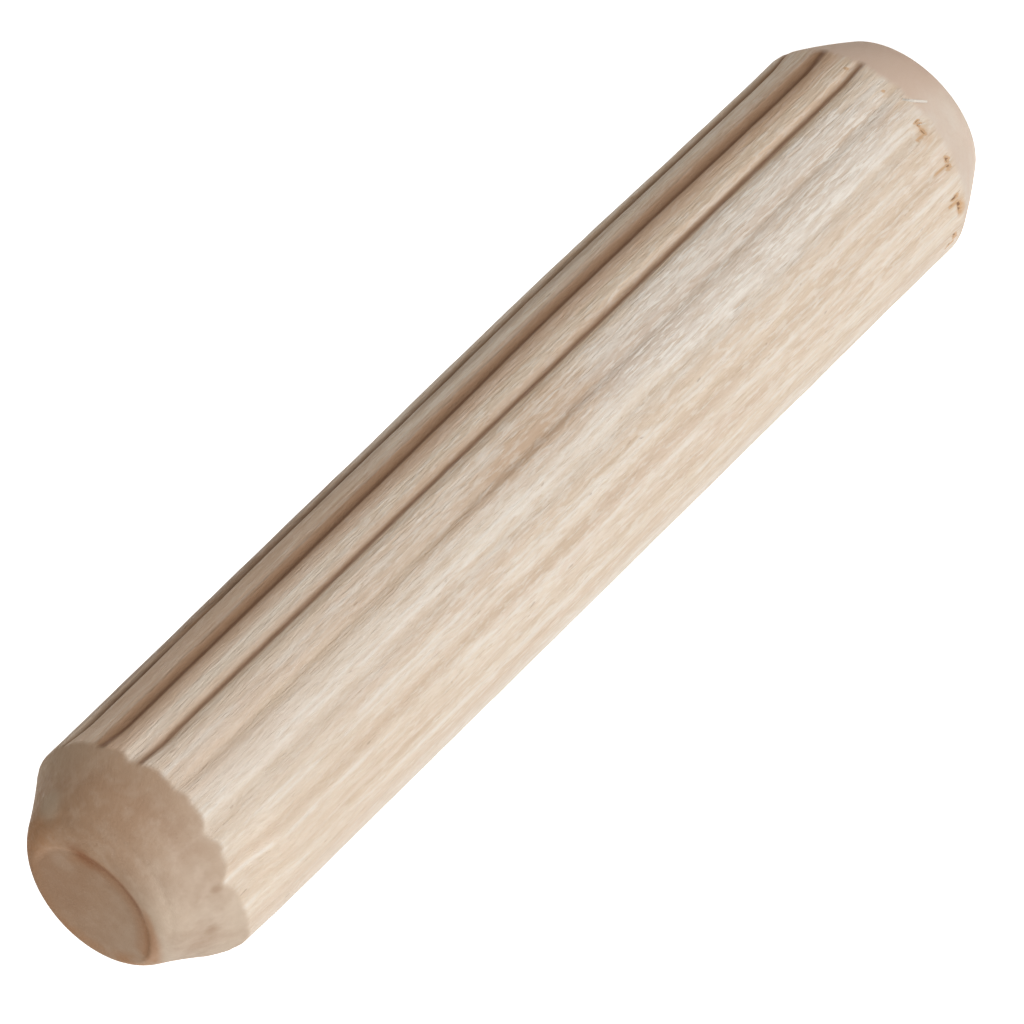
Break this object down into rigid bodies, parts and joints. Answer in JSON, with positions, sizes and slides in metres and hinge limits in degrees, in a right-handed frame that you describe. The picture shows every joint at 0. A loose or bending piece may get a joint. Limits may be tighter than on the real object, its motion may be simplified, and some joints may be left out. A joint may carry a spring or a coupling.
{
  "type": "fluted dowel pin",
  "caption": "Round wooden dowel pin with lengthwise flutes and chamfered ends, glued into matching holes to join two boards.",
  "frame": {"origin": "middle of the foot end, on the surface the pin stands on", "axes": "+Z along the pin from the foot end to the top end, the end with the saw step; +Y towards the side where the saw step fades out"},
  "size_m": [0.008, 0.008, 0.04],
  "materials": {
    "pale_hardwood": "bare, straight-grained, unfinished pale hardwood with darker end grain"
  },
  "bodies": {
    "root": {"dowel_pin": "pale_hardwood"}
  },
  "joints": []
}
